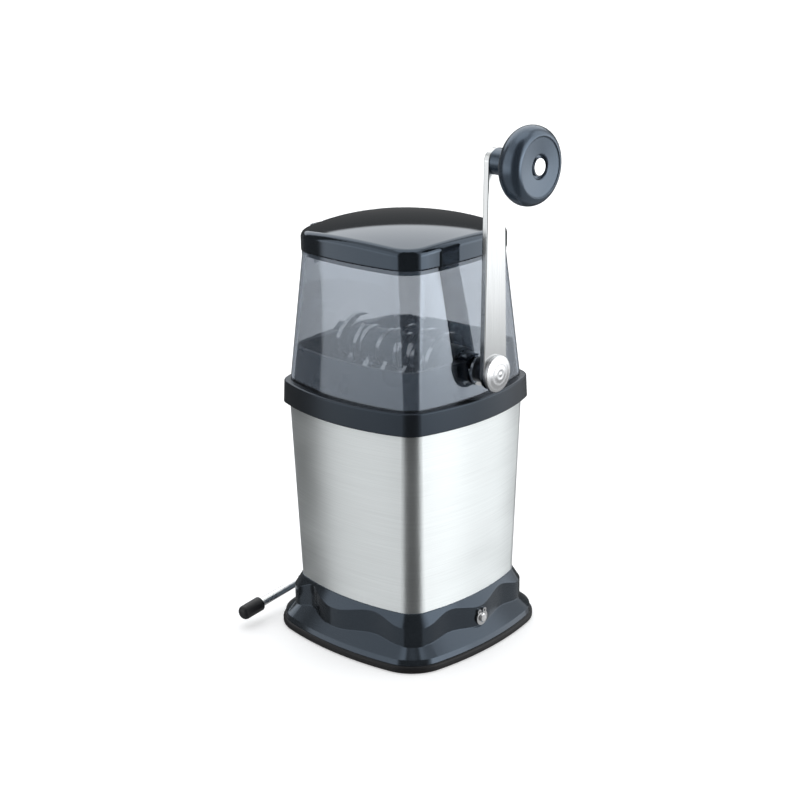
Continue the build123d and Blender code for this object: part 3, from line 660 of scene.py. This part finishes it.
@dataclass
class SteelBody:
    """The brushed sleeve, with its spot welded seam up the back, and the bin inside it."""

    finishes: Finishes
    seam_half_width: float = 0.004
    seam_low: float = 0.0312
    seam_high: float = 0.1352
    seam_start: float = 0.075
    seam_thickness: float = 0.0003
    seam_edge: float = 0.00008
    spot_radius: float = 0.0011
    spot_height: float = 0.00012
    spot_count: int = 9

    def build_seam(self) -> None:
        """Builds the seam: a strip laid on the sleeve's back, with a row of weld spots down its middle."""
        middle = (self.seam_low + self.seam_high) / 2
        bpy.ops.object.select_all(action="DESELECT")
        bpy.ops.mesh.primitive_plane_add(
            size=1.0, location=(0.0, self.seam_start, middle), rotation=(math.radians(-90.0), 0.0, 0.0)
        )
        seam = bpy.context.object
        seam.name = "sleeve_seam"
        seam.scale = (2 * self.seam_half_width, self.seam_high - self.seam_low, 1.0)
        apply_place()
        bpy.ops.object.mode_set(mode="EDIT")
        bpy.ops.mesh.select_all(action="SELECT")
        bpy.ops.mesh.subdivide(number_cuts=23)
        bpy.ops.object.mode_set(mode="OBJECT")
        apply_modifier(
            seam,
            "SHRINKWRAP",
            target=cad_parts["steel_body"],
            wrap_method="PROJECT",
            use_project_y=True,
            use_negative_direction=True,
            use_positive_direction=False,
        )
        apply_modifier(seam, "SOLIDIFY", thickness=self.seam_thickness, offset=1.0)
        apply_modifier(seam, "BEVEL", width=self.seam_edge, segments=2)
        spots = self.build_spots(seam)
        for spot in spots:
            spot.select_set(True)
        seam.select_set(True)
        bpy.context.view_layer.objects.active = seam
        bpy.ops.object.join()
        bpy.ops.object.shade_smooth_by_angle(angle=SMOOTH_ANGLE)
        cover(seam, "brushed_steel", self.finishes.body_steel)
        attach(seam, Body.BASE.value)

    def build_spots(self, seam: bpy.types.Object) -> list[bpy.types.Object]:
        """Builds one weld spot and copies it down the seam.

        Args:
            seam: The seam's strip.

        Returns:
            The spots.
        """
        pitch = (self.seam_high - self.seam_low) / self.spot_count
        profile = [Ring(self.spot_radius, -self.seam_thickness)]
        bulge = Ring(self.spot_radius, self.spot_height)
        profile += curve_rings(Ring(0.0, 0.0), bulge, 0.0, 75.0, 6)
        first = turned("weld_spot", profile, 24)
        spots = [first]
        for _ in range(self.spot_count - 1):
            select_only(first)
            bpy.ops.object.duplicate()
            spots.append(bpy.context.object)
        for place, spot in enumerate(spots):
            height = self.seam_low + (place + 0.5) * pitch
            near = [v.co.y for v in seam.data.vertices if abs(v.co.z - height) < pitch / 2]
            surface = sum(near) / len(near) + self.seam_thickness / 2
            stand(spot, Vector((0.0, surface, height)), Vector((0.0, 1.0, 0.0)))
        return spots

    def build(self) -> None:
        """Builds the seam and dresses the sleeve and the bin."""
        self.build_seam()
        dress("steel_body", self.finishes.body_steel)
        dress("ice_bin", self.finishes.bin_plastic)


@dataclass
class Head:
    """Collar, hopper and the crushing works' fixed parts."""

    finishes: Finishes

    def build(self) -> None:
        """Dresses the head."""
        dress("collar", self.finishes.collar_plastic)
        dress("hopper", self.finishes.smoke)
        dress("hinge_pin", self.finishes.chrome)
        dress("crusher_trough", self.finishes.trough_plastic)
        dress("trough_screws", self.finishes.blade_steel)
        dress("front_comb", self.finishes.blade_steel)
        dress("rear_comb", self.finishes.blade_steel)
        dress("bush_left", self.finishes.bearing_plastic)
        dress("bush_right", self.finishes.bearing_plastic)


@dataclass
class Crank:
    """Rotor, shaft, arm, the hub's domed screw and the turned knob."""

    finishes: Finishes
    arm_face: float = 0.06473
    shaft_height: float = 0.1627
    knob_height: float = 0.276
    screw_radius: float = 0.002
    screw_depth: float = 0.014
    disc_radius: float = 0.01
    disc_side: float = 0.0022
    disc_round: float = 0.0005
    dome_radius: float = 0.0095
    dome_height: float = 0.00135
    ripple: float = 0.00008
    ripple_pitch: float = 0.0031
    dome_rings: int = 30
    knob_gap: float = 0.0003
    knob_bore: float = 0.00308
    knob_length: float = 0.028
    knob_radius: float = 0.0205
    knob_belly: float = 0.021
    knob_back: float = 0.0105
    knob_face: float = 0.0155
    knob_dish: float = 0.0006
    stem_radius: float = 0.007
    stem_length: float = 0.012
    stem_round: float = 0.0006
    recess_radius: float = 0.0062
    recess_depth: float = 0.0018

    def build_hub(self) -> None:
        """Builds the hub's screw: a shank and a domed disc with soft rings on its face."""
        corner = Ring(self.disc_radius - self.disc_round, self.disc_side - self.disc_round)
        foot = Ring(self.disc_radius - self.disc_round, self.disc_round)
        rounding = Ring(self.disc_round, self.disc_round)
        profile = [Ring(self.screw_radius, -self.screw_depth), Ring(self.screw_radius, 0.0)]
        profile += curve_rings(foot, rounding, -90.0, 0.0, 6)
        profile += curve_rings(corner, rounding, 0.0, 90.0, 6)
        for step in range(1, self.dome_rings):
            radius = self.dome_radius * (1 - step / self.dome_rings)
            bulge = self.dome_height * (1 - (radius / self.dome_radius) ** 2)
            wave = self.ripple * math.cos(2 * math.pi * radius / self.ripple_pitch)
            profile.append(Ring(radius, self.disc_side + bulge + wave))
        hub = turned("hub_disc", profile, 96)
        stand(hub, Vector((self.arm_face, 0.0, self.shaft_height)), Vector((1.0, 0.0, 0.0)))
        cover(hub, "bright_chrome", self.finishes.hub_chrome)
        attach(hub, Body.CRANK.value)
        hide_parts("hub_screw")

    def build_knob(self) -> None:
        """Builds the knob: a stem, a full belly, a dished face and a recess for its pin's head."""
        face_floor = self.knob_length - self.knob_dish
        recess_floor = face_floor - self.recess_depth
        rounding = Ring(self.stem_round, self.stem_round)
        heel = Ring(self.stem_radius - self.stem_round, self.stem_round)
        profile = [Ring(self.knob_bore, 0.0)]
        profile += curve_rings(heel, rounding, -90.0, 0.0, 6)
        neck = Ring(self.stem_radius + self.stem_round, self.stem_length - self.stem_round)
        profile += curve_rings(neck, rounding, 180.0, 90.0, 6)
        back = Ring(self.knob_radius - self.knob_back, self.knob_belly - self.stem_length)
        front = Ring(self.knob_radius - self.knob_face, self.knob_length - self.knob_belly)
        profile += curve_rings(Ring(self.knob_back, self.knob_belly), back, -90.0, 0.0, 20)
        profile += curve_rings(Ring(self.knob_face, self.knob_belly), front, 0.0, 90.0, 16)[1:]
        dish = Ring(self.knob_dish, self.knob_dish)
        rim = Ring(self.knob_face - self.knob_dish, self.knob_length)
        profile += curve_rings(rim, dish, 0.0, -90.0, 6)[1:]
        lip = Ring(self.recess_radius + self.stem_round, face_floor - self.stem_round)
        profile += curve_rings(lip, rounding, 90.0, 180.0, 6)
        profile += [Ring(self.recess_radius, recess_floor), Ring(self.knob_bore, recess_floor), profile[0]]
        knob = turned("turned_knob", profile, 128)
        place = Vector((self.arm_face + self.knob_gap, 0.0, self.knob_height))
        stand(knob, place, Vector((1.0, 0.0, 0.0)))
        cover(knob, "knob_plastic", self.finishes.knob_plastic)
        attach(knob, Body.KNOB.value)
        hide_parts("knob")

    def build(self) -> None:
        """Builds the hub and the knob and dresses the rest."""
        self.build_hub()
        self.build_knob()
        dress("shaft", self.finishes.blade_steel)
        dress("rotor_core", self.finishes.rotor_plastic)
        dress("rotor_blades", self.finishes.blade_steel)
        dress("crank_washer", self.finishes.chrome)
        dress("crank_spacer", self.finishes.bearing_plastic)
        dress("crank_arm", self.finishes.arm_chrome)
        dress("knob_pin", self.finishes.chrome)


@dataclass
class Lid:
    """The domed lid."""

    finishes: Finishes

    def build(self) -> None:
        """Dresses the lid."""
        dress("lid", self.finishes.lid_plastic)


@dataclass(frozen=True)
class GlowPanel:
    """A soft-edged patch of light or dark in the room. Angles in degrees from the object, azimuth 0 is -Y."""

    azimuth: tuple[float, float]
    elevation: tuple[float, float]
    brightness: float
    azimuth_blur: float = 4.0
    elevation_blur: float = 4.0


class Room:
    """The room's light by direction: panels laid over one another on a grey base."""

    def __init__(self, base: float) -> None:
        """Starts an evenly lit room.

        Args:
            base: Brightness of the room before its panels.
        """
        world = bpy.data.worlds.new("room")
        bpy.context.scene.world = world
        world.use_nodes = True
        self.tree = world.node_tree
        place = self.tree.nodes.new("ShaderNodeTexCoord")
        parts = self.tree.nodes.new("ShaderNodeSeparateXYZ")
        self.tree.links.new(place.outputs["Generated"], parts.inputs["Vector"])
        towards = self.combine("MULTIPLY", parts.outputs["Y"], -1.0)
        self.azimuth = self.combine("DEGREES", self.combine("ARCTAN2", parts.outputs["X"], towards))
        self.elevation = self.combine("DEGREES", self.combine("ARCSINE", parts.outputs["Z"]))
        self.level = self.combine("ADD", base, 0.0)

    def combine(self, operation: str, *values: bpy.types.NodeSocket | float) -> bpy.types.NodeSocket:
        """Adds a maths node.

        Args:
            operation: The node's operation.
            values: Its inputs, as sockets or numbers.

        Returns:
            The result's socket.
        """
        node = self.tree.nodes.new("ShaderNodeMath")
        node.operation = operation
        for place, value in enumerate(values):
            if isinstance(value, float):
                node.inputs[place].default_value = value
            else:
                self.tree.links.new(value, node.inputs[place])
        return node.outputs["Value"]

    def step(self, angle: bpy.types.NodeSocket, edge: float, blur: float) -> bpy.types.NodeSocket:
        """Rises smoothly from 0 to 1 as an angle passes an edge.

        Args:
            angle: The angle's socket.
            edge: Where the rise is half done.
            blur: Half the width of the rise.

        Returns:
            The rise's socket.
        """
        rise = self.tree.nodes.new("ShaderNodeMapRange")
        rise.interpolation_type = "SMOOTHSTEP"
        rise.inputs["From Min"].default_value = edge - blur
        rise.inputs["From Max"].default_value = edge + blur
        self.tree.links.new(angle, rise.inputs["Value"])
        return rise.outputs["Result"]

    def span(
        self, angle: bpy.types.NodeSocket, edges: tuple[float, float], blur: float
    ) -> bpy.types.NodeSocket:
        """Is 1 between two edges and 0 outside them, with soft sides.

        Args:
            angle: The angle's socket.
            edges: The two edges.
            blur: Half the width of each side's fall.

        Returns:
            The span's socket.
        """
        low, high = edges
        return self.combine("SUBTRACT", self.step(angle, low, blur), self.step(angle, high, blur))

    def add(self, panel: GlowPanel) -> None:
        """Lays a panel over what is there."""
        across = self.span(self.azimuth, panel.azimuth, panel.azimuth_blur)
        upward = self.span(self.elevation, panel.elevation, panel.elevation_blur)
        cover = self.combine("MULTIPLY", across, upward)
        change = self.combine("SUBTRACT", panel.brightness, self.level)
        self.level = self.combine("MULTIPLY_ADD", cover, change, self.level)

    def light(self, tint: Colour) -> None:
        """Joins the levels to the room's light. What is seen directly or through clear plastic is plain white.

        Args:
            tint: Colour of the light.
        """
        nodes, links = self.tree.nodes, self.tree.links
        path = nodes.new("ShaderNodeLightPath")
        seen = self.combine("MAXIMUM", path.outputs["Is Camera Ray"], path.outputs["Is Transmission Ray"])
        change = self.combine("SUBTRACT", 1.0, self.level)
        backdrop = nodes["Background"]
        backdrop.inputs["Color"].default_value = (*tint, 1.0)
        links.new(self.combine("MULTIPLY_ADD", seen, change, self.level), backdrop.inputs["Strength"])


def flat_material(name: str, colour: Colour, glow: float) -> bpy.types.Material:
    """A stage material: dull colour with a share of its own light.

    Args:
        name: The material's name.
        colour: Its colour.
        glow: Its own light.

    Returns:
        The material.
    """
    material = bpy.data.materials.new(name)
    material.use_nodes = True
    shader = material.node_tree.nodes["Principled BSDF"]
    shader.inputs["Base Color"].default_value = (*colour, 1.0)
    shader.inputs["Roughness"].default_value = 1.0
    shader.inputs["Specular IOR Level"].default_value = 0.0
    shader.inputs["Emission Color"].default_value = (*colour, 1.0)
    shader.inputs["Emission Strength"].default_value = glow
    return material


@dataclass
class Studio:
    """Floor, room and camera."""

    camera_place: Vector = field(default_factory=lambda: Vector((0.591067, -0.647911, 0.424565)))
    camera_right: Vector = field(default_factory=lambda: Vector((0.73874, 0.67390, -0.01128)))
    camera_up: Vector = field(default_factory=lambda: Vector((-0.20418, 0.23971, 0.94913)))
    camera_back: Vector = field(default_factory=lambda: Vector((0.64232, -0.69886, 0.31467)))
    lens: float = 73.98
    sensor_width: float = 36.0
    nearest: float = 0.01
    floor_size: float = 60.0
    floor_tone: Colour = (0.82, 0.82, 0.82)
    floor_glow: float = 0.5
    room_level: float = 0.85
    light_tint: Colour = (0.97, 0.985, 1.0)
    panels: tuple[GlowPanel, ...] = (
        GlowPanel((-200.0, 200.0), (-95.0, -15.0), 0.42, elevation_blur=3.0),
        GlowPanel((-200.0, -90.0), (-95.0, 18.0), 0.13, elevation_blur=1.0),
        GlowPanel((-90.0, -54.0), (-95.0, 38.0), 0.12, azimuth_blur=2.0, elevation_blur=3.0),
        GlowPanel((-200.0, -80.0), (18.0, 62.0), 1.75, azimuth_blur=8.0, elevation_blur=1.0),
        GlowPanel((-54.0, 5.0), (-15.5, 36.0), 1.2, azimuth_blur=2.0, elevation_blur=2.0),
        GlowPanel((-54.0, 5.0), (-6.5, 4.0), 1.6, azimuth_blur=2.0, elevation_blur=2.0),
        GlowPanel((92.0, 127.0), (-15.5, 32.0), 2.3, elevation_blur=2.0),
        GlowPanel((92.0, 127.0), (-7.0, 5.0), 3.8, elevation_blur=1.5),
        GlowPanel((127.0, 160.0), (-15.5, 50.0), 1.7, elevation_blur=2.0),
        GlowPanel((127.0, 160.0), (-11.0, 5.0), 2.3, elevation_blur=2.0),
        GlowPanel((-200.0, 200.0), (66.0, 95.0), 1.6),
        GlowPanel((6.0, 84.0), (-95.0, 74.0), 0.1, azimuth_blur=6.0),
    )

    def build(self) -> None:
        """Builds the stage."""
        self.add_floor()
        room = Room(self.room_level)
        for panel in self.panels:
            room.add(panel)
        room.light(self.light_tint)
        self.add_camera()

    def add_floor(self) -> None:
        """Adds a wide pale floor. Shiny pieces reflect the room instead of it."""
        bpy.ops.mesh.primitive_plane_add(size=self.floor_size, location=(0.0, 0.0, 0.0))
        floor = bpy.context.object
        floor.name = "floor"
        floor.visible_glossy = False
        floor.data.materials.append(flat_material("floor white", self.floor_tone, self.floor_glow))

    def add_camera(self) -> None:
        """Sets the camera where the photograph was taken from."""
        lens = bpy.data.cameras.new("camera")
        lens.lens = self.lens
        lens.sensor_width = self.sensor_width
        lens.clip_start = self.nearest
        camera = bpy.data.objects.new("camera", lens)
        bpy.context.scene.collection.objects.link(camera)
        turn = Matrix((self.camera_right, self.camera_up, self.camera_back)).transposed()
        camera.matrix_world = Matrix.Translation(self.camera_place) @ turn.to_4x4()
        bpy.context.scene.camera = camera
        bpy.context.scene.view_settings.view_transform = "Standard"


def main() -> None:
    """Builds the pieces in order, then the studio."""
    logging.basicConfig(level=logging.INFO, format="%(message)s")
    finishes = Finishes()
    for assembly in (Foot, SuctionLever, SteelBody, Head, Crank, Lid):
        assembly(finishes).build()
    Studio().build()


if __name__ == "__main__":
    main()
